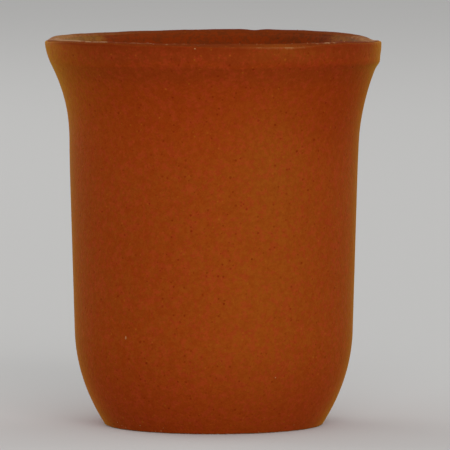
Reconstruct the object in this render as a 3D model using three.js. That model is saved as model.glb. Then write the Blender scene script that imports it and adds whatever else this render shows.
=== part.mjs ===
// Shot cup: a small wheel-thrown drinking cup of red clay with a flat foot, a rounded heel, a slightly
// tapered wall and a flared lip. The clay is thrown and fired as one piece. Two thin coats are fired on
// to it: a satin slip outside, and a liner glaze inside that makes the porous clay hold a drink.
// Lengths are in millimetres and +Z is up. The origin is the middle of the foot, on the table.

import * as THREE from "three";

// Driving dimensions of the clay
const HEIGHT = 60; // table to the crest of the lip
const FOOT_DIAMETER = 33.2; // flat underside
const FOOT_EDGE_WIDTH = 0.1; // the turned edge round the underside, which stays bare
const FOOT_EDGE_HEIGHT = 0.3;
const HEEL_HEIGHT = 14.5; // the wall rounds in towards the foot below this
const WALL_BASE_DIAMETER = 42.5; // outside the wall, above the heel
const WALL_TOP_DIAMETER = 44.2; // outside the wall, below the flare
const FLARE_DEPTH = 16; // crest of the lip down to the start of the flare
const BAND_DEPTH = 3.8; // crest of the lip down to the lower edge of the rolled band outside the lip
const BAND_OVERHANG = 0.6; // how far the lip stands out past the lower edge of the band
const LIP_DIAMETER = 51.4; // outside the lip, at its widest
const SHOULDER_DEPTH = 0.65; // crest down to the top of the band, where the bare top of the lip starts
const CREST_INSET = 0.75; // outside of the lip in to the crest, its highest ring
const LIP_THICKNESS = 2.15; // outside of the lip in to the mouth
const MOUTH_EDGE_DEPTH = 0.5; // crest down to the inner edge of the bare top of the lip
const WALL_THICKNESS = 3.2;
const FLOOR_THICKNESS = 4.5;
const BOWL_CORNER = 7.5; // how far the inside rounds from the wall on to the floor

// Shapes of the curves: the share of a curve's height at which the lines along its two ends would cross
const HEEL_CORNER = 0.48;
const FLARE_CORNER = 0.475;
const BAND_CORNER = 0.5;
const SHOULDER_CORNER = 0.3;

// Driving dimensions of the coats
const SLIP_THICKNESS = 0.25;
const GLAZE_THICKNESS = 0.3;

// Fineness of the surfaces
const CURVE_STEPS = 5; // straight steps in each curve of an outline
const TURN_STEPS = 64; // facets round the cup

// The outlines below are half sections: x is the distance from the axis and y is the height.
const footRadius = FOOT_DIAMETER / 2;
const heelRadius = footRadius + FOOT_EDGE_WIDTH;
const wallBaseRadius = WALL_BASE_DIAMETER / 2;
const wallTopRadius = WALL_TOP_DIAMETER / 2;
const lipRadius = LIP_DIAMETER / 2;
const mouthRadius = lipRadius - LIP_THICKNESS;
const flareHeight = HEIGHT - FLARE_DEPTH;
const bandHeight = HEIGHT - BAND_DEPTH;
const shoulderHeight = HEIGHT - SHOULDER_DEPTH;
const mouthHeight = HEIGHT - MOUTH_EDGE_DEPTH;
const bowlHeight = FLOOR_THICKNESS + BOWL_CORNER;
const flareCornerHeight = THREE.MathUtils.lerp(flareHeight, bandHeight, FLARE_CORNER);

// The radius of the wall's straight outside at a height, also where that line runs on past the wall.
function wallRadiusAt(height) {
  const share = (height - HEEL_HEIGHT) / (flareHeight - HEEL_HEIGHT);
  return wallBaseRadius + (wallTopRadius - wallBaseRadius) * share;
}

// The radius of the wall's straight inside at a height.
function boreRadiusAt(height) {
  return wallRadiusAt(height) - WALL_THICKNESS;
}

// The outside that the slip covers: heel, wall, flare and the rolled band of the lip, going up.
function outsideOutline() {
  const heelCornerHeight = THREE.MathUtils.lerp(FOOT_EDGE_HEIGHT, HEEL_HEIGHT, HEEL_CORNER);
  const bandCornerHeight = THREE.MathUtils.lerp(bandHeight, shoulderHeight, BAND_CORNER);
  const bandRadius = lipRadius - BAND_OVERHANG;
  const path = new THREE.Path();
  path.moveTo(heelRadius, FOOT_EDGE_HEIGHT);
  path.quadraticCurveTo(wallRadiusAt(heelCornerHeight), heelCornerHeight, wallBaseRadius, HEEL_HEIGHT);
  path.lineTo(wallTopRadius, flareHeight);
  path.quadraticCurveTo(wallRadiusAt(flareCornerHeight), flareCornerHeight, bandRadius, bandHeight);
  path.quadraticCurveTo(lipRadius, bandCornerHeight, lipRadius, shoulderHeight);
  return path.getPoints(CURVE_STEPS);
}

// The bare top of the lip: over the outer shoulder to the crest, then down to the mouth.
function lipOutline() {
  const shoulderCornerHeight = THREE.MathUtils.lerp(shoulderHeight, HEIGHT, SHOULDER_CORNER);
  const path = new THREE.Path();
  path.moveTo(lipRadius, shoulderHeight);
  path.quadraticCurveTo(lipRadius, shoulderCornerHeight, lipRadius - CREST_INSET, HEIGHT);
  path.quadraticCurveTo(mouthRadius, HEIGHT, mouthRadius, mouthHeight);
  return path.getPoints(CURVE_STEPS);
}

// The inside that the glaze covers: mouth, straight bore, rounded corner and floor, going down to the axis.
function insideOutline() {
  const boreTopRadius = boreRadiusAt(flareHeight);
  const bowlRadius = boreRadiusAt(bowlHeight);
  const floorRadius = bowlRadius - BOWL_CORNER;
  const path = new THREE.Path();
  path.moveTo(mouthRadius, mouthHeight);
  path.quadraticCurveTo(boreRadiusAt(flareCornerHeight), flareCornerHeight, boreTopRadius, flareHeight);
  path.lineTo(bowlRadius, bowlHeight);
  path.quadraticCurveTo(boreRadiusAt(FLOOR_THICKNESS), FLOOR_THICKNESS, floorRadius, FLOOR_THICKNESS);
  path.lineTo(0, FLOOR_THICKNESS);
  return path.getPoints(CURVE_STEPS);
}

// The outer face of a coat: the clay's outline moved away from the clay by the coat's thickness. Each point
// goes square to the line through its two neighbours, to the right of the way the outline runs.
function coatFace(outline, thickness) {
  return outline.map((point, i) => {
    const before = outline[Math.max(i - 1, 0)];
    const after = outline[Math.min(i + 1, outline.length - 1)];
    const along = after.clone().sub(before).normalize();
    return new THREE.Vector2(point.x + along.y * thickness, point.y - along.x * thickness);
  });
}

// A solid of revolution from a half section, turned from the lathe's upright Y axis to +Z.
function turnedSolid(name, section, material) {
  const geometry = new THREE.LatheGeometry(section, TURN_STEPS).rotateX(Math.PI / 2);
  const mesh = new THREE.Mesh(geometry, material);
  mesh.name = name;
  return mesh;
}

const outside = outsideOutline();
const lip = lipOutline();
const inside = insideOutline();

// The thrown clay: out along the underside, up the outside, over the lip and down to the floor inside.
function clayBody() {
  const underside = [new THREE.Vector2(0, 0), new THREE.Vector2(footRadius, 0)];
  const section = [...underside, ...outside, ...lip.slice(1), ...inside.slice(1)];
  const firedClay = new THREE.MeshStandardMaterial({ color: 0xb4754a, roughness: 0.9, metalness: 0 });
  return turnedSolid("clay_body", section, firedClay);
}

// The satin slip on the outside, from the edge of the foot to the shoulder of the lip.
function outerSlip() {
  const face = coatFace(outside, SLIP_THICKNESS);
  const section = [...face, ...outside.toReversed(), face[0]];
  const satinSlip = new THREE.MeshStandardMaterial({ color: 0x8d3d0f, roughness: 0.55, metalness: 0 });
  return turnedSolid("outer_slip", section, satinSlip);
}

// The liner glaze on the inside, from the mouth down over the floor.
function linerGlaze() {
  const face = coatFace(inside, GLAZE_THICKNESS);
  const section = [...inside.toReversed(), ...face];
  const brownGlaze = new THREE.MeshStandardMaterial({ color: 0x6c2a0c, roughness: 0.3, metalness: 0 });
  return turnedSolid("liner_glaze", section, brownGlaze);
}

const shotCup = new THREE.Group();
shotCup.name = "shot_cup";
shotCup.add(clayBody(), outerSlip(), linerGlaze());

export default shotCup;
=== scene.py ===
"""A small wheel-thrown shot cup of red clay: its fine surfaces and fired finishes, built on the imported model.

Lengths are in metres and +Z is up. The origin is the middle of the foot, on the table. A turn round the cup
starts on the right and grows towards the back: the back is at 90 degrees and the front is at -90.
"""

import math

import bpy
import numpy as np
from bpy.props import FloatProperty, FloatVectorProperty, PointerProperty
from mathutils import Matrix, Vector


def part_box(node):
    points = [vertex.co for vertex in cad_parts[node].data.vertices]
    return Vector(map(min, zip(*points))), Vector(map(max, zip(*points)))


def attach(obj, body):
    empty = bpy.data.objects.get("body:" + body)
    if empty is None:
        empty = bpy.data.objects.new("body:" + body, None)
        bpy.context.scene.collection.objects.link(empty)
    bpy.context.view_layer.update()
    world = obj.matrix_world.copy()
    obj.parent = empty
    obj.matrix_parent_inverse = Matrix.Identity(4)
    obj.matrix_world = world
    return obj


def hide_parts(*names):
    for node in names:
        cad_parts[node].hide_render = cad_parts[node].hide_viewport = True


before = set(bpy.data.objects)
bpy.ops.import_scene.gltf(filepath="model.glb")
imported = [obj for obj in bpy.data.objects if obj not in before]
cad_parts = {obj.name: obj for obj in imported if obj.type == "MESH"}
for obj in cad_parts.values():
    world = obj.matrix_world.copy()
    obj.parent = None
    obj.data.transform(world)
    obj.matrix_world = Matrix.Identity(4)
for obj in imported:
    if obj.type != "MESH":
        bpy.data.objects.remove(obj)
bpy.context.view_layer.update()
clay_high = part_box("clay_body")[1]
slip_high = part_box("outer_slip")[1]
liner_low, liner_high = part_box("liner_glaze")

bl_info = {
    "name": "Shot Cup",
    "version": (1, 0, 0),
    "blender": (4, 5, 0),
    "location": "View3D > Sidebar > Shot Cup",
    "description": "Builds a thrown clay shot cup with its slip, its liner glaze and a plain studio",
    "category": "Add Mesh",
}

BODY = "root"
MILLIMETRE = 0.001
SUNK = 0.05 * MILLIMETRE  # how far the back of a coat lies inside the clay

# Turns of the lip's two ends as the camera sees them, in degrees
RIGHT = 0.0
LEFT = 180.0

# Fineness of the surfaces
TURN_STEPS = 320
BEND_STEPS = 40
READING_STEPS = 3000
UNDERSIDE_STEPS = 66
FOOT_EDGE_STEPS = 26
WALL_STEPS = 36
LIP_STEPS = 70
INSIDE_STEPS = 40
BEAD_STEPS = 12
SLIP_STEPS = 176
SLIP_BACK_STEPS = 30
LINER_STEPS = 190
LINER_BACK_STEPS = 34
GRAIN_SIDES = 9
GRAIN_RINGS = 6
SHARP_ANGLE = math.radians(40.0)

# Numbers of sand grains
LIP_GRAINS = 50
FOOT_GRAINS = 24
WALL_GRAINS = 8


def length(name, description, default):
    """A length that the user can change, in metres."""
    return FloatProperty(name=name, description=description, default=default, unit="LENGTH", precision=5)


def colour(name, description, default):
    """A linear colour that the user can change."""
    return FloatVectorProperty(name=name, description=description, default=default, subtype="COLOR", min=0.0)


def level(name, description, default):
    """A plain number that the user can change."""
    return FloatProperty(name=name, description=description, default=default, min=0.0, subtype="FACTOR")


class CupShape(bpy.types.PropertyGroup):
    """Sizes of the clay and its two coats."""

    height: length("Height", "Table to the crest of the lip", clay_high.z)
    foot_radius: length("Foot radius", "Flat underside", 0.0166)
    foot_edge_width: length("Foot edge width", "Turned edge round the underside", 0.0001)
    foot_edge_height: length("Foot edge height", "Turned edge round the underside", 0.0003)
    heel_height: length("Heel height", "The wall rounds in towards the foot below this", 0.0145)
    wall_base_radius: length("Wall base radius", "Outside the wall, above the heel", 0.02125)
    wall_top_radius: length("Wall top radius", "Outside the wall, below the flare", 0.0221)
    flare_depth: length("Flare depth", "Crest down to the start of the flare", 0.016)
    band_depth: length("Band depth", "Crest down to the lower edge of the lip's rolled band", 0.0038)
    band_overhang: length("Band overhang", "How far the lip stands out past the band's lower edge", 0.0006)
    lip_radius: length("Lip radius", "Outside the lip, at its widest", clay_high.x)
    shoulder_depth: length("Shoulder depth", "Crest down to the top of the band", 0.00065)
    crest_inset: length("Crest inset", "Outside of the lip in to its highest ring", 0.00075)
    mouth_radius: length("Mouth radius", "Inside the clay, at the inner edge of the lip", liner_high.x)
    mouth_edge_depth: length("Mouth edge depth", "Crest down to the inner edge of the lip", 0.0005)
    wall_thickness: length("Wall thickness", "Clay between the outside and the bore", 0.0032)
    floor_thickness: length("Floor thickness", "Clay under the bowl", liner_low.z)
    bowl_corner: length("Bowl corner", "How far the inside rounds from the wall to the floor", 0.0075)
    corner_round: length("Corner round", "How far a wet sponge rounded the clay's corners", 0.00013)
    slip_thickness: length("Slip thickness", "Coat on the outside", slip_high.x - clay_high.x)
    liner_thickness: length("Liner thickness", "Coat on the inside", 0.0003)


class CupHand(bpy.types.PropertyGroup):
    """Marks that throwing, trimming, dipping and use left."""

    ridge: length("Ridge", "How far the lower edge of the lip's band stands out", 0.00004)
    ridge_fault: length("Ridge fault", "How much further it stands out on the right", 0.00016)
    ridge_drop: length("Ridge drop", "How much lower it lies on the right", 0.0006)
    lip_wave: length("Lip wave", "Unevenness of the lip's crest", 0.00009)
    lip_slope: length("Lip slope", "How far the lip's crest slopes down to the left", 0.0002)
    low_spot: length("Low spot", "Dip in the lip's crest on the right", 0.00072)
    front_dip: length("Front dip", "Dip in the lip's crest at the right front", 0.00013)
    front_rise: length("Front rise", "Rise in the lip's crest at the left front", 0.00015)
    far_rise: length("Far rise", "Rise in the lip's crest at the back", 0.00018)
    far_nick: length("Far nick", "Nick in the lip's crest at the back", 0.0002)
    end_step: length("End step", "How far the lip's crest steps down just behind its right end", 0.00017)
    end_rise: length("End rise", "How far the lip's crest rises again at its right end", 0.00026)
    end_flat: length("End flat", "How much further in the lip's crest lies at its worn right end", 0.0005)
    edge_drop: length("Edge drop", "How far the lip's outer edge lies below its crest", 0.00028)
    edge_round: length("Edge round", "How much further below it lies at the front", 0.0002)
    edge_wear: length("Edge wear", "How much further below it is worn at the right front", 0.00012)
    edge_left: length("Edge left", "How much further below it lies on the left", 0.00034)
    edge_back: length("Edge back", "How much further below it lies just behind the right end", 0.00022)
    lean: length("Lean", "How far the flare leans to the right", 0.0002)
    lip_lean: length("Lip lean", "How far the lip leans back to the left", 0.0001)
    ring_depth: length("Ring depth", "Finger ridges inside", 0.00007)
    ring_pitch: length("Ring pitch", "Finger ridges inside", 0.0044)
    wire_depth: length("Wire depth", "Marks of the cutting wire under the foot", 0.00012)
    wire_pitch: length("Wire pitch", "Marks of the cutting wire under the foot", 0.0017)
    slip_wave: length("Slip wave", "Unevenness of the edges of the coats", 0.00012)
    slip_dip: length("Slip dip", "How far the slip's upper edge drops at the right front", 0.00006)


class CupColours(bpy.types.PropertyGroup):
    """Colours of the finishes."""

    slip: colour("Slip", "Red-brown slip outside", (0.2695, 0.0495, 0.0050))
    # Deep slip: the random deeper tone, and painted shade on the down-facing flare and heel
    deep_and_shaded_slip: colour("Deep slip", "The slip where it lies thicker", (0.2780, 0.0335, 0.0034))
    # Band slip: the lip's band, and painted shade in the hollow under it
    band_slip_and_hollow_shade: colour("Band slip", "The slip on the lip's band, fired darker", (0.231, 0.0320, 0.0048))
    # Flashed slip: the pale specks, and painted light on the slip's left side, right end and front
    pale_slip_and_painted_light: colour("Flashed slip", "The slip where the fire left it paler", (0.360, 0.099, 0.0080))
    # Golden slip: a painted highlight on the right front
    slip_painted_highlight: colour("Golden slip", "The slip where the fire left it yellower", (0.270, 0.078, 0.0075))
    # Red slip: the redder patches, and painted light on the left and right of the heel
    red_slip_and_painted_light: colour("Red slip", "The slip in its redder patches", (0.360, 0.040, 0.011))
    # Speck: the burnt specks, and painted shade on the right front of the flare and the lip
    speck_and_shade: colour("Speck", "Specks burnt through the slip", (0.150, 0.006, 0.0006))
    # Iron: iron in the clay and the glaze, and painted shade in the glaze below the lip on the right
    iron_and_shade: colour("Iron", "Iron in the bare clay and the glaze", (0.075, 0.017, 0.004))
    # Rubbed clay: the worn crest, and at the lip's two ends also painted sheen
    rubbed_and_sheen: colour("Rubbed clay", "The lip's crest where it is rubbed bare", (0.42, 0.235, 0.12))
    sand: colour("Sand", "Pale sand in the clay", (0.40, 0.165, 0.068))
    clay: colour("Clay", "Bare fired clay", (0.37, 0.180, 0.066))
    clay_deep: colour("Deep clay", "Bare clay in its hollows", (0.27, 0.106, 0.031))
    lip_wash: colour("Lip wash", "Thin slip over the top of the lip", (0.178, 0.0268, 0.0040))
    liner: colour("Liner", "Glaze inside", (0.182, 0.0215, 0.0024))
    liner_thin: colour("Thin liner", "The glaze where it runs thin", (0.182, 0.030, 0.0045))
    # Wiped liner: painted sheen in the glaze below the mouth at the left and the right
    liner_sheen_paint: colour("Wiped liner", "The glaze where it was wiped thin", (0.240, 0.096, 0.013))
    floor: colour("Floor", "The floor as it is seen", (0.62, 0.615, 0.605))
    floor_bounce: colour("Floor bounce", "The floor as it lights the cup from below", (0.38, 0.38, 0.38))


class CupStudio(bpy.types.PropertyGroup):
    """Where the camera stands and how strong the light is."""

    camera_distance: length("Camera distance", "In front of the cup's axis", 1.1)
    camera_height: length("Camera height", "Above the table", 0.1088)
    aim_side: length("Aim side", "How far right of the axis the camera aims", 0.00174)
    aim_height: length("Aim height", "Above the table", 0.03082)
    view_width: length("View width", "Width of the picture at the cup", 0.06953)
    horizon_level: level("Horizon level", "Light from all round, low down", 1.40)
    zenith_level: level("Zenith level", "Light from straight above", 0.45)
    key_level: level("Key level", "Large soft lamp at the front right", 0.39)
    left_level: level("Left level", "Large soft lamp behind on the left", 0.28)
    right_level: level("Right level", "Large soft lamp behind on the right", 0.14)


class ShotCupSettings(bpy.types.PropertyGroup):
    """Everything about the cup that the user can change."""

    shape: PointerProperty(type=CupShape)
    hand: PointerProperty(type=CupHand)
    colours: PointerProperty(type=CupColours)
    studio: PointerProperty(type=CupStudio)


# Small curves and waves

def smooth_step(low, high, value):
    """0 up to low, 1 from high on, and a smooth S between them."""
    share = np.clip((value - low) / (high - low), 0.0, 1.0)
    return share * share * (3.0 - 2.0 * share)


def bell(value, reach):
    """1 where the value is 0, falling to about a third where it is as large as the reach."""
    return np.exp(-((value / reach) ** 2))


def degrees_from(turn, centre):
    """How far a turn lies from a centre, in degrees from -180 to 180."""
    return (np.degrees(turn) - centre + 180.0) % 360.0 - 180.0


def patch(turn, centre, reach):
    """A bell over the turns round a centre. The centre and the reach are in degrees."""
    return bell(degrees_from(turn, centre), reach)


def ripple(turn, counts, seed):
    """An uneven wave that closes round the cup: the mean of cosines with whole counts and seeded phases."""
    phases = np.random.default_rng(seed).uniform(0.0, 2.0 * math.pi, len(counts))
    return np.mean([np.cos(count * turn + phase) for count, phase in zip(counts, phases)], axis=0)


def bend(start, corner, end):
    """A parabola from start to end that runs along the lines to the corner at its two ends."""
    share = np.linspace(0.0, 1.0, BEND_STEPS + 1)[:, None]
    start, corner, end = np.array(start), np.array(corner), np.array(end)
    return (1.0 - share) ** 2 * start + 2.0 * share * (1.0 - share) * corner + share**2 * end


def between(start, end, share):
    """The number that lies a share of the way from start to end."""
    return start + (end - start) * share


def soften(line, steps):
    """A line of evenly spaced points averaged over the steps to both sides, with its two ends kept."""
    before = 2.0 * line[0] - line[steps:0:-1]
    after = 2.0 * line[-1] - line[-2 : -steps - 2 : -1]
    weights = np.hanning(2 * steps + 3)[1:-1]
    padded = np.concatenate([before, line, after])
    return np.convolve(padded, weights / weights.sum(), mode="valid")


class ThrownForm:
    """The surface of the clay: a turn round the axis and a place along the half section give a point.

    The half section runs from the axis out along the underside, up the outside, over the lip and down the
    inside to the axis again. A place is the distance along it.
    """

    # Shapes of the bends: the share of a bend's height at which the lines along its two ends would cross
    HEEL_CORNER = 0.48
    FLARE_CORNER = 0.52
    BAND_CORNER = 0.5
    SHOULDER_CORNER = 0.3

    def __init__(self, settings):
        shape = settings.shape
        self.shape = shape
        self.hand = settings.hand
        self.flare_height = shape.height - shape.flare_depth
        self.band_height = shape.height - shape.band_depth
        self.shoulder_height = shape.height - shape.shoulder_depth
        self.flare_corner = between(self.flare_height, self.band_height, self.FLARE_CORNER)
        self.foot_edge_point = (shape.foot_radius + shape.foot_edge_width, shape.foot_edge_height)
        self.shoulder_point = (shape.lip_radius, self.shoulder_height)
        self.mouth_point = (shape.mouth_radius, shape.height - shape.mouth_edge_depth)
        stretches = [self.foot_line(), self.outside_line(), *self.lip_lines(), self.inside_line()]
        lengths = [np.hypot(*np.diff(line, axis=0).T).sum() for line in stretches]
        self.heel, self.shoulder, self.crest, self.mouth, self.end = np.cumsum(lengths)
        self.foot = shape.foot_radius
        self.read(np.concatenate(stretches))

    def wall_radius(self, height):
        """Radius of the wall's straight outside, also where that line runs on past the wall."""
        shape = self.shape
        share = (height - shape.heel_height) / (self.flare_height - shape.heel_height)
        return between(shape.wall_base_radius, shape.wall_top_radius, share)

    def bore_radius(self, height):
        """Radius of the wall's straight inside."""
        return self.wall_radius(height) - self.shape.wall_thickness

    def foot_line(self):
        """Straight out along the underside, then up the turned edge."""
        return np.array([(0.0, 0.0), (self.shape.foot_radius, 0.0), self.foot_edge_point])

    def outside_line(self):
        """The heel's bend, the straight wall, the flare's bend and the bend of the rolled band."""
        shape = self.shape
        heel_corner = between(shape.foot_edge_height, shape.heel_height, self.HEEL_CORNER)
        band_corner = between(self.band_height, self.shoulder_height, self.BAND_CORNER)
        band = (shape.lip_radius - shape.band_overhang, self.band_height)
        wall_base = (shape.wall_base_radius, shape.heel_height)
        wall_top = (shape.wall_top_radius, self.flare_height)
        heel = bend(self.foot_edge_point, (self.wall_radius(heel_corner), heel_corner), wall_base)
        flare = bend(wall_top, (self.wall_radius(self.flare_corner), self.flare_corner), band)
        rolled = bend(band, (shape.lip_radius, band_corner), self.shoulder_point)
        return np.concatenate([heel, flare, rolled])

    def lip_lines(self):
        """The bend from the shoulder in to the crest, and the bend from the crest down to the mouth."""
        shape = self.shape
        corner = between(self.shoulder_height, shape.height, self.SHOULDER_CORNER)
        crest = (shape.lip_radius - shape.crest_inset, shape.height)
        rise = bend(self.shoulder_point, (shape.lip_radius, corner), crest)
        return rise, bend(crest, (shape.mouth_radius, shape.height), self.mouth_point)

    def inside_line(self):
        """The bend under the mouth, the straight bore, the bowl's round corner and the flat floor."""
        shape = self.shape
        bowl_height = shape.floor_thickness + shape.bowl_corner
        bowl_radius = self.bore_radius(bowl_height)
        bore_top = (self.bore_radius(self.flare_height), self.flare_height)
        floor_edge = (bowl_radius - shape.bowl_corner, shape.floor_thickness)
        neck = bend(self.mouth_point, (self.bore_radius(self.flare_corner), self.flare_corner), bore_top)
        corner = (self.bore_radius(shape.floor_thickness), shape.floor_thickness)
        bowl = bend((bowl_radius, bowl_height), corner, floor_edge)
        return np.concatenate([neck, bowl, [(0.0, shape.floor_thickness)]])

    def read(self, points):
        """Keeps the half section as even readings: radius, height, and the way out of the clay."""
        reach = np.concatenate([[0.0], np.cumsum(np.hypot(*np.diff(points, axis=0).T))])
        self.places = np.linspace(0.0, self.end, READING_STEPS)
        steps = round(self.shape.corner_round / self.places[1])
        self.radius = soften(np.interp(self.places, reach, points[:, 0]), steps)
        self.height = soften(np.interp(self.places, reach, points[:, 1]), steps)
        along = np.gradient(self.radius), np.gradient(self.height)
        size = np.hypot(*along)
        self.out_radius = along[1] / size
        self.out_height = -along[0] / size

    def height_at(self, place):
        """Height of the half section at a place, before the hand's marks."""
        return np.interp(place, self.places, self.height)

    def ridge_out(self, turn, height):
        """How far the ridge under the lip's band stands out: a soft rise, then a slow fall, going up.

        On the right it stands out further and lies lower, and on the left it fades out.
        """
        hand = self.hand
        right = patch(turn, RIGHT, 35.0)
        shown = smooth_step(-0.4, 0.05, np.cos(turn))
        above = (height - self.band_height + hand.ridge_drop * right) / MILLIMETRE
        rise = smooth_step(-0.6, 0.45, above)
        fall = 1.0 - smooth_step(0.45, 1.7, above)
        return (hand.ridge * shown + hand.ridge_fault * right) * rise * fall

    def crest_up(self, turn):
        """How far the lip's crest stands above its nominal height.

        It waves, slopes down to the left, dips on the right and at the right front, and rises at the left
        front and at the back, where it has a nick. Just behind its right end it steps down, and it rises
        again at the end itself.
        """
        hand = self.hand
        behind = degrees_from(turn, RIGHT)
        wave = hand.lip_wave * ripple(turn, (2, 3, 5, 9, 16, 23), seed=4)
        slope = hand.lip_slope * (0.5 + 0.5 * np.cos(turn - math.radians(165.0)))
        low_spot = hand.low_spot * patch(turn, RIGHT, 25.0)
        front_dip = hand.front_dip * patch(turn, -60.0, 26.0)
        front_rise = hand.front_rise * patch(turn, -130.0, 36.0)
        far_rise = hand.far_rise * patch(turn, 82.0, 36.0)
        far_nick = hand.far_nick * patch(turn, 75.0, 3.0)
        end_step = hand.end_step * smooth_step(15.0, 11.0, behind) * smooth_step(2.0, 8.0, behind)
        end_rise = hand.end_rise * patch(turn, -6.0, 8.0)
        dips = slope + low_spot + front_dip + far_nick + end_step
        return wave + front_rise + far_rise + end_rise - dips

    def edge_down(self, turn):
        """How far the lip's outer edge lies below its crest.

        It lies lower at the front, at the worn right front, on the left, and just behind the right end.
        """
        hand = self.hand
        front = hand.edge_round * patch(turn, -88.0, 18.0)
        worn = hand.edge_wear * patch(turn, -60.0, 18.0)
        left = hand.edge_left * patch(turn, LEFT, 24.0)
        back = hand.edge_back * patch(turn, 14.0, 5.0)
        return hand.edge_drop + front + worn + left + back

    def lip_up(self, turn, place, height):
        """How far the lip stands above its nominal height.

        All of the lip follows the crest, fading out down the band and down the inside. Its outer edge then
        rises or sinks to where it lies below the crest.
        """
        band = smooth_step(self.shoulder - 3.0 * MILLIMETRE, self.shoulder, place)
        fade = band * smooth_step(self.flare_height, self.shape.height, height)
        edge = band * (1.0 - smooth_step(self.shoulder, self.crest, place))
        return fade * self.crest_up(turn) + edge * (self.shape.shoulder_depth - self.edge_down(turn))

    def crest_in(self, turn, place):
        """How much further in the crest lies at its worn right end, fading to the shoulder and the mouth."""
        top = smooth_step(self.shoulder, self.crest, place)
        top = top * (1.0 - smooth_step(self.crest, self.mouth, place))
        return self.hand.end_flat * top * patch(turn, RIGHT, 12.0)

    def lean_right(self, height):
        """How far the cup's middle lies to the right: most in the flare, and a little left at the lip."""
        hand = self.hand
        flare = hand.lean * bell(height - self.flare_height - 6.0 * MILLIMETRE, 6.0 * MILLIMETRE)
        return flare - hand.lip_lean * smooth_step(self.band_height, self.shoulder_height, height)

    def points(self, turn, place, lift):
        """Points of the cup at their turns and places, lifted square off the clay, with the hand's marks."""
        turn, place, lift = np.broadcast_arrays(turn, place, lift)
        radius = np.interp(place, self.places, self.radius)
        radius = radius + lift * np.interp(place, self.places, self.out_radius)
        height = self.height_at(place) + lift * np.interp(place, self.places, self.out_height)
        outer = 1.0 - smooth_step(self.shoulder, self.crest, place)
        radius = radius + outer * self.ridge_out(turn, height) - self.crest_in(turn, place)
        height = height + self.lip_up(turn, place, height)
        across = radius * np.cos(turn) + self.lean_right(height)
        return np.stack([across, radius * np.sin(turn), height], axis=-1)


# Wear, fire marks, and painted light, sheen and shade round the cup, with heights in millimetres

def lip_wear_and_sheen(turn):
    """How far the wash on the lip is worn off: most at the left and the right, a little at the front. At the
    two ends the bared clay is also painted sheen.
    """
    left = 1.12 * patch(turn, -156.0, 33.0)
    front = 0.18 * patch(turn, -104.0, 13.0)
    right = 0.5 * patch(turn, -47.0, 9.0)
    far_right = 1.3 * patch(turn, 3.0, 22.0)
    return left + front + right + far_right


def edge_use(turn):
    """How far use wore the lip's outer edge: at the right front, on the right, and less on the left."""
    return patch(turn, -67.0, 10.0) + 0.9 * patch(turn, RIGHT, 14.0) + 0.6 * patch(turn, LEFT, 12.0)


def lip_end_sheen(turn):
    """How far sheen is painted on the inside of the lip by baring the clay under the wash: at the left and at
    the right.
    """
    return 1.35 * patch(turn, LEFT, 40.0) + patch(turn, RIGHT, 30.0)


def liner_end_sheen(turn):
    """How far sheen is painted on the glaze below the lip as a paler tone: at the left and at the right, ending
    short.
    """
    from_left = np.abs(degrees_from(turn, LEFT))
    from_right = np.abs(degrees_from(turn, RIGHT))
    left = 1.1 * bell(from_left, 66.0) * (1.0 - smooth_step(39.6, 45.2, from_left))
    return left + 0.48 * (1.0 - smooth_step(36.0, 39.5, from_right))


def liner_painted_shade(turn):
    """How far shade is painted on the glaze below the lip as a darker tone: just past the painted sheen on the
    right, and further on.
    """
    from_right = np.abs(degrees_from(turn, RIGHT))
    return 0.36 * bell(from_right - 41.0, 3.5) + 0.18 * bell(from_right - 55.0, 11.0)


def pale_slip_and_painted_light(turn, height):
    """How far light is painted on the slip as a paler tone.

    Most on the left of the flare and the lip, and a little on the lip's right and the front of the wall:
    painted side light on the left, painted sheen at the right end and a painted highlight on the front.
    """
    left = 1.2 * patch(turn, LEFT, 31.0) * smooth_step(42.0, 56.0, height)
    right = 0.85 * patch(turn, RIGHT, 21.0) * smooth_step(52.0, 57.0, height)
    right = right * (1.0 + 0.3 * smooth_step(57.5, 59.0, height))
    front = 0.25 * patch(turn, -72.0, 34.0) * bell(height - 24.0, 22.0)
    return np.minimum(left + right + front, 1.0)


def slip_painted_highlight(turn, height):
    """How far a highlight is painted on the slip as a yellower tone: on the right front, most high on the wall
    and on the lip's band.
    """
    wall = 0.35 * bell(height - 42.0, 9.0) + 0.18 * bell(height - 22.0, 15.0)
    band = 0.3 * smooth_step(56.5, 58.5, height)
    return wall * patch(turn, -66.0, 15.0) + band * patch(turn, -62.0, 16.0)


def heel_painted_light(turn, height):
    """How far light is painted on the slip as a redder tone: on the left and the right of the heel."""
    return 0.75 * bell(np.sin(turn), 0.6) * (1.0 - smooth_step(2.0, 13.0, height))


def flare_painted_shade(turn, height):
    """How far shade is painted on the slip as a darker tone: on the right front of the flare and the lip."""
    return 0.16 * patch(turn, -32.0, 20.0) * smooth_step(38.0, 48.0, height)


def slip_upper_edge_dark(turn):
    """How far the slip's upper edge is darker: below the worn crest at the left front."""
    return patch(turn, -144.0, 20.0)


def band_brown(turn):
    """How far the fire browned the upper half of the lip's band: at the left front."""
    return patch(turn, -130.0, 16.0)


# Meshes, whose marks hold lengths in millimetres

def full_turn():
    """Even turns once round the cup, as a column."""
    return np.linspace(0.0, 2.0 * math.pi, TURN_STEPS, endpoint=False)[:, None]


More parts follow.
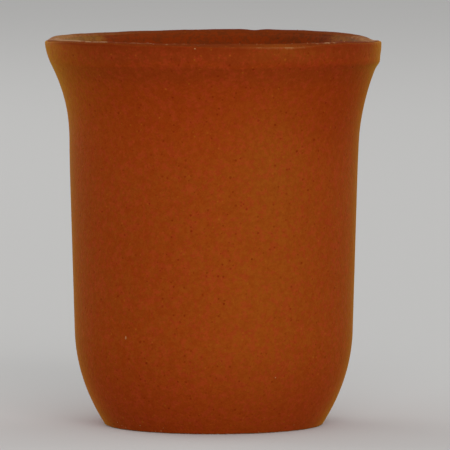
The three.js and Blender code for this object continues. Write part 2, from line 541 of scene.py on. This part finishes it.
def add_skin(context, name, grid, marks, finish, poles):
    """A smooth closed mesh over grids of points, with its finish, riding on the cup.

    grid[shape, turn, step] closes round its turns. Along its steps it runs from a pole to a pole, each one
    point, or else it closes into a ring. Marks are named values of the points.
    """
    index = np.arange(grid[..., 0].size).reshape(grid.shape[:3])
    if poles:
        index[:, :, 0] = index[:, :1, 0]
        index[:, :, -1] = index[:, :1, -1]
    used, index = np.unique(index, return_inverse=True)
    index = index.reshape(grid.shape[:3])
    ahead = np.roll(index, -1, axis=2)
    corners = np.stack([index, np.roll(index, -1, axis=1), np.roll(ahead, -1, axis=1), ahead], axis=-1)
    if poles:
        corners = corners[:, :, :-1]
    corners = corners.reshape(-1, 4)
    first = corners[:, 0] == corners[:, 1]
    last = corners[:, 2] == corners[:, 3]
    faces = corners[~first & ~last].tolist()
    faces += corners[first][:, [0, 2, 3]].tolist()
    faces += corners[last][:, :3].tolist()
    mesh = bpy.data.meshes.new(name)
    mesh.from_pydata(grid.reshape(-1, 3)[used].tolist(), [], faces)
    for mark, values in marks.items():
        values = np.broadcast_to(values, grid.shape[:3]).reshape(-1)[used]
        mesh.attributes.new(mark, "FLOAT", "POINT").data.foreach_set("value", values.astype(np.float32))
    mesh.shade_smooth()
    mesh.set_sharp_from_angle(angle=SHARP_ANGLE)
    mesh.materials.append(finish)
    skin = bpy.data.objects.new(name, mesh)
    context.scene.collection.objects.link(skin)
    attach(skin, BODY)
    return skin


def clay_grid(form):
    """The whole clay as a grid of points, with the lip finest, what the hand did to them, and their marks of
    wear, painted sheen and darkening.

    Under the foot the cutting wire left arcs about a far centre: the clay is cut in by a raised cosine of the
    distance from that centre, fading out before the foot's edge, which stays flat on the table.
    """
    hand = form.hand
    stretches = [
        np.linspace(0.0, form.foot - 0.8 * MILLIMETRE, UNDERSIDE_STEPS),
        np.linspace(form.foot - 0.7 * MILLIMETRE, form.heel + 1.2 * MILLIMETRE, FOOT_EDGE_STEPS),
        np.linspace(form.heel + 1.8 * MILLIMETRE, form.shoulder - 2.0 * MILLIMETRE, WALL_STEPS),
        np.linspace(form.shoulder - 1.6 * MILLIMETRE, form.mouth + 1.4 * MILLIMETRE, LIP_STEPS),
        np.linspace(form.mouth + 2.0 * MILLIMETRE, form.end, INSIDE_STEPS),
    ]
    turn = full_turn()
    place = np.concatenate(stretches)[None, :]
    far_across, far_along = -34.0 * MILLIMETRE, 9.0 * MILLIMETRE
    sweep = np.hypot(place * np.cos(turn) - far_across, place * np.sin(turn) - far_along)
    sweep = sweep + 0.25 * MILLIMETRE * ripple(turn, (2, 3), seed=8)
    cut = 0.5 - 0.5 * np.cos(2.0 * math.pi * sweep / hand.wire_pitch)
    under = 1.0 - smooth_step(form.foot - 3.0 * MILLIMETRE, form.foot - 1.2 * MILLIMETRE, place)
    bare_lip = smooth_step(form.shoulder, form.crest, place) * (place < form.mouth)
    pitted = 0.015 * MILLIMETRE * bare_lip * ripple(turn, (31, 47, 71, 103), seed=12)
    grid = form.points(turn, place, pitted - hand.wire_depth * cut * under)
    return grid[None], {
        "from_crest": (place - form.crest) / MILLIMETRE,
        "worn": lip_wear_and_sheen(turn),
        "end_sheen": lip_end_sheen(turn),
        # Darker on the back half of the lip
        "dark_side": smooth_step(0.1, 0.6, np.sin(turn)),
        "thinned": edge_use(turn),
    }


def slip_edges(form, turn):
    """Places of the slip's two wavy edges, of which the upper one also drops at the right front."""
    hand = form.hand
    low = form.foot + 0.08 * MILLIMETRE + 0.1 * hand.slip_wave * ripple(turn, (2, 3, 7, 11), seed=21)
    drop = hand.slip_dip * patch(turn, -58.0, 30.0)
    wave = hand.slip_wave * ripple(turn, (3, 5, 8, 13), seed=22)
    return low, form.shoulder + 0.05 * MILLIMETRE - drop + wave


def slip_grid(form):
    """The slip as a grid of points, each point's distance from the slip's two edges, its wear, its darker and
    browner places, and where light and shade are painted on it.

    The coat's face lies its thickness off the clay, with faint turning marks. At both edges it rounds down to
    the clay over a short bead, along a quarter of an ellipse. Its back is sunk in the clay.
    """
    bead = 0.22 * MILLIMETRE
    turn = full_turn()
    low, high = slip_edges(form, turn)
    quarter = np.linspace(0.0, math.pi / 2.0, BEAD_STEPS)[None, :]
    face = 1.0 - np.linspace(1.0, 0.0, SLIP_STEPS)[None, 1:-1] ** 1.5
    back = np.linspace(1.0, 0.0, SLIP_BACK_STEPS)[None, :]
    place = np.concatenate([
        low + bead * (1.0 - np.cos(quarter)),
        between(low + bead, high - bead, face),
        high - bead * (1.0 - np.sin(quarter)),
        between(low, high, back),
    ], axis=1)
    rise = np.concatenate([np.sin(quarter), np.ones_like(face), np.cos(quarter)], axis=1)
    outside = rise.shape[1]
    turning = ripple(2.0 * math.pi * place[:, :outside] / (3.4 * MILLIMETRE) + turn, (1, 2), seed=5)
    lift = np.full(place.shape, -SUNK)
    lift[:, :outside] = rise * (form.shape.slip_thickness + 0.004 * MILLIMETRE * turning)
    height = form.height_at(place) / MILLIMETRE
    return form.points(turn, place, lift)[None], {
        "to_lip": (high - place) / MILLIMETRE,
        "to_foot": (place - low) / MILLIMETRE,
        "worn": edge_use(turn),
        "painted_light": pale_slip_and_painted_light(turn, height),
        "painted_highlight": slip_painted_highlight(turn, height),
        "painted_side_light": heel_painted_light(turn, height),
        "dark_side": flare_painted_shade(turn, height),
        "upper_edge_dark": slip_upper_edge_dark(turn),
        "browned": band_brown(turn),
    }


def liner_grid(form):
    """The liner glaze as a grid of points, each point's depth from its edge at the mouth, and where sheen and
    shade are painted on it.

    Its back is sunk in the clay. Its face rises off the clay along a smooth S, then carries one finger ridge
    that winds down the bore and in across the floor: a cosine of the place along the section and the turn.
    A button is left in the middle of the floor.
    """
    hand = form.hand
    turn = full_turn()
    edge = form.mouth - 0.1 * MILLIMETRE + hand.slip_wave * ripple(turn, (2, 4, 7, 12), seed=31)
    back = between(form.end, edge, np.linspace(0.0, 1.0, LINER_BACK_STEPS)[None, :])
    face = between(edge, form.end, np.linspace(0.0, 1.0, LINER_STEPS)[None, :] ** 1.15)
    place = np.concatenate([back, face], axis=1)
    depth = (place - edge) / MILLIMETRE
    left = form.end - place
    winding = np.cos(2.0 * math.pi * left / hand.ring_pitch + turn + 0.6 * ripple(turn, (1, 2), seed=33))
    ridge = hand.ring_depth * winding * smooth_step(3.0, 12.0, depth)
    ridge = ridge * smooth_step(0.0, 2.5 * MILLIMETRE, left)
    button = 0.25 * MILLIMETRE * bell(left, 2.0 * MILLIMETRE)
    lift = smooth_step(0.0, 0.9, depth) * form.shape.liner_thickness + ridge + button
    lift[:, : back.shape[1]] = -SUNK
    return form.points(turn, place, lift)[None], {
        "depth": depth,
        "end_sheen": liner_end_sheen(turn),
        "painted_shade": liner_painted_shade(turn) * (1.0 - smooth_step(2.0, 5.0, depth)),
    }


def grain_grid(form, turn, place, lift, size, seed):
    """Low closed grains half sunk in the surface, as one grid for each.

    A grain is an ellipsoid whose two long axes lie along the surface, round the cup and along the section.
    Its girth is made uneven by chips of its own.
    """
    step = 0.05 * MILLIMETRE
    centre = form.points(turn, place, lift)
    round_way = form.points(turn + step / form.shape.lip_radius, place, lift) - centre
    up_way = form.points(turn, place + step, lift) - centre
    round_way /= np.linalg.norm(round_way, axis=-1, keepdims=True)
    up_way /= np.linalg.norm(up_way, axis=-1, keepdims=True)
    out_way = np.cross(round_way, up_way)
    longitude = np.linspace(0.0, 2.0 * math.pi, GRAIN_SIDES, endpoint=False)[None, :, None]
    latitude = np.linspace(-math.pi / 2.0, math.pi / 2.0, GRAIN_RINGS)[None, None, :]
    girth = np.cos(latitude)
    chips = np.random.default_rng(seed).uniform(0.78, 1.15, (len(turn), longitude.size, 1))
    across = (size[:, :1, None] * chips * girth * np.cos(longitude))[..., None]
    upward = (size[:, 1:2, None] * chips * girth * np.sin(longitude))[..., None]
    outward = (size[:, 2:, None] * np.ones_like(longitude) * np.sin(latitude))[..., None]
    ways = [way[:, None, None, :] for way in (round_way, up_way, out_way)]
    return centre[:, None, None, :] + across * ways[0] + upward * ways[1] + outward * ways[2]


def sand_grid(form):
    """Sand by chance along the lip, on the foot's edge and on the back, and three listed grains in front."""
    chosen_turns = np.radians([-96.1, -128.5, -63.1])
    chosen_heights = np.array([59.15, 14.8, 8.9]) * MILLIMETRE
    chosen_sizes = np.array([(0.14, 0.1, 0.05), (0.15, 0.28, 0.06), (0.1, 0.12, 0.04)]) * MILLIMETRE
    chosen = len(chosen_turns)
    chance = np.random.default_rng(7)
    turn = chance.uniform(0.0, 2.0 * math.pi, LIP_GRAINS + FOOT_GRAINS + WALL_GRAINS)
    turn[-WALL_GRAINS:] *= 0.5
    turn[-chosen:] = chosen_turns
    wall_height = chance.uniform(3.0 * MILLIMETRE, 54.0 * MILLIMETRE, WALL_GRAINS)
    wall_height[-chosen:] = chosen_heights
    outside = (form.places > form.heel) & (form.places < form.shoulder)
    place = np.concatenate([
        form.crest + chance.normal(0.0, 0.25 * MILLIMETRE, LIP_GRAINS),
        form.foot + chance.uniform(0.3 * MILLIMETRE, 1.5 * MILLIMETRE, FOOT_GRAINS),
        np.interp(wall_height, form.height[outside], form.places[outside]),
    ])
    on_slip = (place > form.heel) & (place < form.shoulder)
    lift = np.where(on_slip, form.shape.slip_thickness, 0.0)
    size = chance.uniform(0.05, 0.14, (len(turn), 3)) * MILLIMETRE
    size[:, 2] *= 0.4
    size[-chosen:] = chosen_sizes
    return grain_grid(form, turn, place, lift, size, seed=9)


# Shader expressions, with lengths in millimetres

class Shade:
    """A socket in a node tree. Operators on it add Math nodes, and node() adds a node of any other type."""

    # Sockets of a Mix node that mixes colours
    FACTOR, FIRST, SECOND, RESULT = 0, 6, 7, 2

    def __init__(self, tree, socket=None):
        self.tree = tree
        self.socket = socket

    def node(self, kind, settings=None, inputs=None, output=0):
        """Adds a node, makes its settings, fills its sockets with values or links, and gives one output."""
        made = self.tree.nodes.new(kind)
        for name, value in (settings or {}).items():
            setattr(made, name, value)
        for name, value in (inputs or {}).items():
            if isinstance(value, Shade):
                self.tree.links.new(value.socket, made.inputs[name])
            else:
                made.inputs[name].default_value = value
        return Shade(self.tree, made.outputs[output] if made.outputs else None)

    def twin(self, output):
        """Another output of the same node."""
        return Shade(self.tree, self.socket.node.outputs[output])

    def math(self, operation, first, second):
        """A Math node on two values or links."""
        return self.node("ShaderNodeMath", {"operation": operation}, {0: first, 1: second})

    def __add__(self, other):
        return self.math("ADD", self, other)

    def __sub__(self, other):
        return self.math("SUBTRACT", self, other)

    def __rsub__(self, other):
        return self.math("SUBTRACT", other, self)

    def __mul__(self, other):
        return self.math("MULTIPLY", self, other)

    def __truediv__(self, other):
        return self.math("DIVIDE", self, other)

    __radd__ = __add__
    __rmul__ = __mul__

    def ramp(self, start, end):
        """0 where this is at start, 1 where it is at end, and a smooth S between them."""
        settings = {"interpolation_type": "SMOOTHSTEP"}
        return self.node("ShaderNodeMapRange", settings, {"Value": self, "From Min": start, "From Max": end})

    def mix(self, first, second):
        """The first colour where this is 0, the second where it is 1. A plain colour gets full cover."""
        first, second = (paint if isinstance(paint, Shade) else (*paint, 1.0) for paint in (first, second))
        inputs = {self.FACTOR: self, self.FIRST: first, self.SECOND: second}
        return self.node("ShaderNodeMix", {"data_type": "RGBA"}, inputs, self.RESULT)

    def place(self):
        """The place on the piece."""
        return self.node("ShaderNodeTexCoord", output="Object")

    def mark(self, name):
        """A named value of the piece's points."""
        return self.node("ShaderNodeAttribute", {"attribute_name": name}, output="Fac")


def new_finish(name):
    """An empty material, and a start for its shader expressions."""
    finish = bpy.data.materials.new(name)
    finish.use_nodes = True
    finish.node_tree.nodes.clear()
    return finish, Shade(finish.node_tree)


def show_surface(start, inputs):
    """Shows a Principled surface with these inputs."""
    shader = start.node("ShaderNodeBsdfPrincipled", inputs=inputs)
    start.node("ShaderNodeOutputMaterial", inputs={"Surface": shader})


def clouds(place, lump, detail=2.0, crisp=0.5):
    """Soft noise from 0 to 1 with lumps of about this length, and finer ones on them that are this crisp."""
    inputs = {"Vector": place, "Scale": 1.0 / (lump * MILLIMETRE), "Detail": detail, "Roughness": crisp}
    return place.node("ShaderNodeTexNoise", inputs=inputs)


def spots(place, spacing, radius, share):
    """Spots scattered about this far apart, up to this radius: up to 1 inside a spot, 0 outside.

    Each cell of a Voronoi pattern has a spot of its own size and strength, and only this share of the cells
    shows one.
    """
    inputs = {"Vector": place, "Scale": 1.0 / (spacing * MILLIMETRE)}
    distance = place.node("ShaderNodeTexVoronoi", inputs=inputs)
    chance = place.node("ShaderNodeSeparateColor", inputs={"Color": distance.twin("Color")})
    size = (chance * 0.65 + 0.35) * (radius / spacing)
    shown = place.math("LESS_THAN", chance.twin("Green"), share)
    return (distance / size).ramp(1.0, 0.4) * shown * (chance.twin("Blue") * 0.75 + 0.25)


def bumped(relief, depth):
    """The surface's normal over a relief of this depth."""
    inputs = {"Height": relief, "Distance": depth * MILLIMETRE, "Strength": 1.0}
    return relief.node("ShaderNodeBump", inputs=inputs)


def slip_finish(colours):
    """Satin slip: mottled red-brown with burnt specks, darker on the lip's band, worn at its upper edge, and
    with painted light and shade.
    """
    finish, start = new_finish("fired_satin_slip")
    place = start.place()
    to_lip = start.mark("to_lip")
    to_foot = start.mark("to_foot")
    painted_light = start.mark("painted_light")
    worn = start.mark("worn")
    cloud = clouds(place, 6.5, detail=3.0)
    mottle = clouds(place, 1.2, crisp=1.0)
    smoke = clouds(place, 0.9, crisp=1.0)
    grain = clouds(place, 0.4)

    # The coat, deeper red towards the lip and the foot as painted shade on the down-facing flare and heel, and
    # darker on the lip's band
    flare_and_heel_shade = start.math("MAXIMUM", to_lip.ramp(24.0, 7.0), to_foot.ramp(15.0, 3.0))
    tone = (cloud.ramp(0.25, 0.75) * 0.2 + mottle.ramp(0.36, 0.64) * 0.45 + 0.375) * (1.0 - flare_and_heel_shade * 0.7)
    paint = tone.mix(colours.deep_and_shaded_slip, colours.slip)
    uneven = to_lip + (cloud - 0.5) * 3.0
    band = uneven.ramp(3.4, 1.6)
    # Painted shade in the hollow under the band's ridge
    hollow_shade = uneven.ramp(2.4, 3.2) * uneven.ramp(7.5, 4.2)
    paint = start.math("MAXIMUM", band, hollow_shade * 0.6).mix(paint, colours.band_slip_and_hollow_shade)

    # Painted light as paler, yellower and redder places, redder patches, and darker places at the slip's upper
    # edge
    # A painted highlight on the right front
    paint = start.mark("painted_highlight").mix(paint, colours.slip_painted_highlight)
    # Painted light: paler on the left side, the right end and the front
    paint = (painted_light * (mottle * 0.6 + 0.7)).mix(paint, colours.pale_slip_and_painted_light)
    # Redder patches, and painted side light on the left and right of the heel
    patches = clouds(place, 1.4, crisp=1.0).ramp(0.48, 0.62) * 0.4
    paint = (patches + start.mark("painted_side_light")).mix(paint, colours.red_slip_and_painted_light)
    edge = to_lip.ramp(1.4, 0.1) * (1.0 - worn * 0.8) * (1.0 - painted_light * 0.9)
    # Darker at the slip's upper edge below the crest at the left front, and browner on the upper band there
    rim = to_lip.ramp(0.5, 0.15) * 0.5 * start.mark("upper_edge_dark")
    rim = rim + to_lip.ramp(2.8, 1.0) * 0.3 * start.mark("browned")
    paint = (edge * 0.5 + rim).mix(paint, colours.lip_wash)

    # Pale specks, then burnt ones, and painted shade on the right front of the flare and the lip
    pale = spots(place, 0.9, radius=0.24, share=0.6)
    broad = spots(place, 3.2, radius=0.5, share=0.45)
    paint = (pale * 0.55 + broad * 0.35).mix(paint, colours.pale_slip_and_painted_light)
    small = spots(place, 0.85, radius=0.27, share=0.7)
    large = spots(place, 4.6, radius=0.36, share=0.5)
    burnt = smoke.ramp(0.36, 0.64) * 0.2 + small * 0.54 + large * 0.55 + edge * 0.08
    # Painted shade on the right front of the flare and the lip
    paint = (burnt + start.mark("dark_side")).mix(paint, colours.speck_and_shade)

    # Wear at both edges
    wear = (to_lip + (grain - 0.5) * 0.9).ramp(0.35, 0.05) * worn
    wear = wear * (clouds(place, 1.6).ramp(0.45, 0.6) * 0.7 + 0.3)
    rub = (to_foot + (grain - 0.5) * 0.4).ramp(0.2, 0.0)
    paint = (wear * 0.6).mix(paint, colours.clay)
    paint = (rub * 0.6).mix(paint, colours.clay)

    show_surface(start, {
        "Base Color": paint,
        "Roughness": grain.ramp(0.2, 0.8) * 0.16 + 0.46 + wear * 0.2,
        "Normal": bumped(grain * 0.6 + mottle - small * 0.3 - large * 0.5, depth=0.05),
        "Specular IOR Level": 0.006,
        "Specular Tint": (1.0, 0.55, 0.1, 1.0),
        "Sheen Weight": 0.2,
        "Sheen Roughness": 0.3,
        "Sheen Tint": (1.0, 0.85, 0.0, 1.0),
    })
    return finish


def clay_finish(colours):
    """Bare fired clay: sandy and pitted under the foot, with a worn wash of slip over the top of the lip, bared
    at the lip's ends as painted sheen.
    """
    finish, start = new_finish("fired_sandy_clay")
    place = start.place()
    from_crest = start.mark("from_crest")
    thinned = start.mark("thinned")
    grain = clouds(place, 0.35, detail=3.0)
    cloud = clouds(place, 3.2, detail=3.0)
    broken = clouds(place, 0.9).ramp(0.3, 0.7)

    # Bare clay with sand and iron in it
    paint = (grain * 0.6 + cloud * 0.4).ramp(0.3, 0.66).mix(colours.clay_deep, colours.clay)
    paint = spots(place, 0.8, radius=0.16, share=0.4).mix(paint, colours.sand)
    paint = (spots(place, 1.9, radius=0.17, share=0.5) * 0.7).mix(paint, colours.iron_and_shade)

    # The wash on the lip, bared where the crest is worn, and at the lip's two ends also as painted sheen, on
    # the crest and down the inside
    ragged = from_crest + (grain - 0.5) * 0.4
    inner = ragged.ramp(0.0, 0.3)
    crest = (ragged + thinned * 0.35).ramp(-0.7, -0.45) * (1.0 - inner * 0.35)
    # The worn crest, and at the lip's two ends painted sheen as paler bare clay
    rubbed_and_sheen = (start.mark("worn") + broken * 0.8 - 0.5).ramp(0.3, 0.75) * crest * 0.85
    # Painted sheen down the inside of the lip at its two ends, as bared clay
    end_sheen = inner * start.mark("end_sheen") * (broken * 0.4 + 0.6)
    bared = start.math("MINIMUM", start.math("MAXIMUM", rubbed_and_sheen, end_sheen), 0.92)
    wash = from_crest.ramp(-4.0, -3.0) * (1.0 - bared) * (grain.ramp(0.15, 0.4) * 0.12 + 0.86)
    paint = rubbed_and_sheen.mix(paint, colours.rubbed_and_sheen)
    paint = wash.mix(paint, colours.lip_wash)

    # Darker on the back half of the lip, and specks in the wash
    paint = (start.mark("dark_side") * wash * 0.18).mix(paint, colours.iron_and_shade)
    pale = spots(place, 1.0, radius=0.24, share=0.5) * 0.35 + thinned * 0.25
    paint = (pale * wash).mix(paint, colours.pale_slip_and_painted_light)
    dark = spots(place, 1.1, radius=0.3, share=0.6) * 0.5
    dark = dark + clouds(place, 0.8, crisp=1.0).ramp(0.45, 0.65) * 0.25
    paint = (dark * wash).mix(paint, colours.iron_and_shade)

    show_surface(start, {
        "Base Color": paint,
        "Roughness": grain * 0.2 + 0.68 - wash * 0.15,
        "Normal": bumped(grain - spots(place, 0.6, radius=0.15, share=0.5) * 0.8, depth=0.03),
        "Specular IOR Level": 0.004,
    })
    return finish


def liner_finish(colours):
    """Liner glaze: dark red-brown, thinner and lighter at the mouth, with painted sheen and painted shade below
    the mouth, and pinholes.
    """
    finish, start = new_finish("fired_brown_liner")
    place = start.place()
    depth = start.mark("depth")
    cloud = clouds(place, 5.0, detail=3.0)
    mottle = clouds(place, 1.0, crisp=1.0)
    grain = clouds(place, 0.5)
    thin = (depth + (cloud - 0.5) * 2.0).ramp(1.6, 0.0)
    tone = cloud.ramp(0.3, 0.75) * 0.2 + mottle.ramp(0.36, 0.64) * 0.4 + thin * 0.5
    paint = tone.mix(colours.liner, colours.liner_thin)
    # Painted sheen below the mouth at the left and the right, as paler glaze
    end_sheen = (depth + (grain - 0.5)).ramp(1.6, 0.6) * start.mark("end_sheen")
    paint = start.math("MINIMUM", end_sheen, 1.0).mix(paint, colours.liner_sheen_paint)
    specks = spots(place, 1.2, radius=0.24, share=0.6)
    # Dark specks and mottle, and painted shade below the lip on the right
    dark = specks * 0.7 + mottle.ramp(0.42, 0.6) * 0.42 + start.mark("painted_shade")
    paint = dark.mix(paint, colours.iron_and_shade)
    holes = spots(place, 2.6, radius=0.14, share=0.4)
    show_surface(start, {
        "Base Color": paint,
        "Roughness": grain * 0.12 + 0.27 + holes * 0.3,
        "Normal": bumped(clouds(place, 1.1) + grain * 0.3 - holes * 1.5, depth=0.014),
        "Specular IOR Level": 0.012,
        "Specular Tint": (1.0, 0.7, 0.4, 1.0),
        "Sheen Weight": 0.15,
        "Sheen Roughness": 0.3,
        "Sheen Tint": (1.0, 0.95, 0.2, 1.0),
    })
    return finish


def sand_finish(colours):
    """Pale sand grains, each with a tone of its own."""
    finish, start = new_finish("pale_sand")
    place = start.place()
    grain = clouds(place, 0.12)
    show_surface(start, {
        "Base Color": clouds(place, 1.2, detail=1.0).ramp(0.35, 0.65).mix(colours.clay, colours.sand),
        "Roughness": grain * 0.3 + 0.5,
        "Normal": bumped(grain, depth=0.01),
        "Specular IOR Level": 0.05,
    })
    return finish


def floor_finish(colours):
    """Matt floor: pale where it is seen or mirrored, darker where it throws light back up on to the cup."""
    finish, start = new_finish("plain_floor")
    ray = start.node("ShaderNodeLightPath")
    seen = ray.twin("Is Camera Ray") + ray.twin("Is Glossy Ray") + ray.twin("Is Transmission Ray")
    paint = seen.mix(colours.floor_bounce, colours.floor)
    shader = start.node("ShaderNodeBsdfDiffuse", inputs={"Color": paint})
    start.node("ShaderNodeOutputMaterial", inputs={"Surface": shader})
    return finish


# Studio

def sky_way(azimuth, elevation):
    """The way to a place in the sky, with azimuth 0 at the front, growing to the right."""
    level_share = math.cos(elevation)
    return Vector((math.sin(azimuth) * level_share, -math.cos(azimuth) * level_share, math.sin(elevation)))


def add_lamp(context, name, azimuth, elevation, strength):
    """A large square lamp that looks at the cup.

    A strength of 1 lights a surface that faces it as a white sky does.
    """
    distance, side = 1.3, 0.9
    lamp = bpy.data.lights.new(name, "AREA")
    lamp.shape = "SQUARE"
    lamp.size = side
    lamp.energy = strength * 4.0 * math.pi * distance**2
    holder = bpy.data.objects.new(name, lamp)
    way = sky_way(math.radians(azimuth), math.radians(elevation))
    holder.location = way * distance + Vector((0.0, 0.0, clay_high.z / 2.0))
    holder.rotation_euler = way.to_track_quat("Z", "Y").to_euler()
    context.scene.collection.objects.link(holder)


def add_floor(context, colours):
    """A wide flat square under the cup."""
    reach = 3.0
    corners = [(-reach, -reach, 0.0), (reach, -reach, 0.0), (reach, reach, 0.0), (-reach, reach, 0.0)]
    mesh = bpy.data.meshes.new("floor")
    mesh.from_pydata(corners, [], [(0, 1, 2, 3)])
    mesh.materials.append(floor_finish(colours))
    floor = bpy.data.objects.new("floor", mesh)
    context.scene.collection.objects.link(floor)


def add_sky(context, horizon, zenith):
    """Neutral light from all round, changing evenly with the height above the horizon up to the zenith."""
    world = bpy.data.worlds.new("even_sky")
    world.use_nodes = True
    world.node_tree.nodes.clear()
    start = Shade(world.node_tree)
    way = start.node("ShaderNodeTexCoord", output="Generated")
    rise = start.node("ShaderNodeSeparateXYZ", inputs={"Vector": way}, output="Z")
    strength = start.math("MAXIMUM", rise, 0.0) * (zenith - horizon) + horizon
    light = start.node("ShaderNodeBackground", inputs={"Strength": strength})
    start.node("ShaderNodeOutputWorld", inputs={"Surface": light})
    context.scene.world = world


def add_camera(context, studio):
    """A long lens far in front of the cup and a little above it."""
    camera = bpy.data.cameras.new("camera")
    holder = bpy.data.objects.new("camera", camera)
    aim = Vector((studio.aim_side, 0.0, studio.aim_height))
    holder.location = (0.0, -studio.camera_distance, studio.camera_height)
    way = aim - holder.location
    holder.rotation_euler = way.to_track_quat("-Z", "Y").to_euler()
    camera.sensor_width = 36.0
    camera.lens = camera.sensor_width * way.length / studio.view_width
    camera.clip_end = 20.0
    context.scene.collection.objects.link(holder)
    context.scene.camera = holder


# Operators

class SHOTCUP_OT_throw_clay(bpy.types.Operator):
    """Throws the clay: underside, heel, wall, lip and bowl in one piece"""

    bl_idname = "shotcup.throw_clay"
    bl_label = "Throw Clay"

    def execute(self, context):
        settings = context.scene.shot_cup
        grid, marks = clay_grid(ThrownForm(settings))
        clay = add_skin(context, "thrown_clay", grid, marks, clay_finish(settings.colours), poles=True)
        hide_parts("clay_body")
        return {"FINISHED"}


class SHOTCUP_OT_dip_slip(bpy.types.Operator):
    """Coats the outside with slip, from the foot's edge to the lip"""

    bl_idname = "shotcup.dip_slip"
    bl_label = "Dip Slip"

    def execute(self, context):
        settings = context.scene.shot_cup
        grid, marks = slip_grid(ThrownForm(settings))
        slip = add_skin(context, "fired_slip", grid, marks, slip_finish(settings.colours), poles=False)
        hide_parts("outer_slip")
        return {"FINISHED"}


class SHOTCUP_OT_pour_liner(bpy.types.Operator):
    """Coats the inside with glaze, from the mouth over the wall and the floor"""

    bl_idname = "shotcup.pour_liner"
    bl_label = "Pour Liner"

    def execute(self, context):
        settings = context.scene.shot_cup
        grid, marks = liner_grid(ThrownForm(settings))
        liner = add_skin(context, "fired_liner", grid, marks, liner_finish(settings.colours), poles=True)
        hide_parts("liner_glaze")
        return {"FINISHED"}


class SHOTCUP_OT_scatter_sand(bpy.types.Operator):
    """Scatters pale sand grains along the lip and the foot, and a few on the wall"""

    bl_idname = "shotcup.scatter_sand"
    bl_label = "Scatter Sand"

    def execute(self, context):
        settings = context.scene.shot_cup
        grid = sand_grid(ThrownForm(settings))
        sand = add_skin(context, "sand_grains", grid, {}, sand_finish(settings.colours), poles=True)
        return {"FINISHED"}


class SHOTCUP_OT_set_stage(bpy.types.Operator):
    """Sets up the floor, the light and the camera"""

    bl_idname = "shotcup.set_stage"
    bl_label = "Set Stage"

    def execute(self, context):
        settings = context.scene.shot_cup
        studio = settings.studio
        context.scene.view_settings.view_transform = "Standard"
        add_floor(context, settings.colours)
        add_sky(context, studio.horizon_level, studio.zenith_level)
        add_lamp(context, "key_lamp", 11.0, 20.0, studio.key_level)
        add_lamp(context, "left_lamp", -130.0, 12.0, studio.left_level)
        add_lamp(context, "right_lamp", 125.0, 12.0, studio.right_level)
        add_camera(context, studio)
        return {"FINISHED"}


class SHOTCUP_PT_sidebar(bpy.types.Panel):
    """The cup's sizes, colours and making"""

    bl_idname = "SHOTCUP_PT_sidebar"
    bl_label = "Shot Cup"
    bl_space_type = "VIEW_3D"
    bl_region_type = "UI"
    bl_category = "Shot Cup"

    def draw(self, context):
        settings = context.scene.shot_cup
        for group in (settings.shape, settings.hand, settings.colours, settings.studio):
            box = self.layout.box()
            for name in group.__annotations__:
                box.prop(group, name)
        for operator in OPERATORS:
            self.layout.operator(operator.bl_idname)


GROUPS = (CupShape, CupHand, CupColours, CupStudio, ShotCupSettings)
OPERATORS = (
    SHOTCUP_OT_throw_clay,
    SHOTCUP_OT_dip_slip,
    SHOTCUP_OT_pour_liner,
    SHOTCUP_OT_scatter_sand,
    SHOTCUP_OT_set_stage,
)
CLASSES = (*GROUPS, *OPERATORS, SHOTCUP_PT_sidebar)


def register():
    for cls in CLASSES:
        bpy.utils.register_class(cls)
    bpy.types.Scene.shot_cup = PointerProperty(type=ShotCupSettings)


def unregister():
    del bpy.types.Scene.shot_cup
    for cls in reversed(CLASSES):
        bpy.utils.unregister_class(cls)


def main():
    """Builds the cup and its stage."""
    register()
    bpy.ops.shotcup.throw_clay()
    bpy.ops.shotcup.dip_slip()
    bpy.ops.shotcup.pour_liner()
    bpy.ops.shotcup.scatter_sand()
    bpy.ops.shotcup.set_stage()


if __name__ == "__main__":
    main()
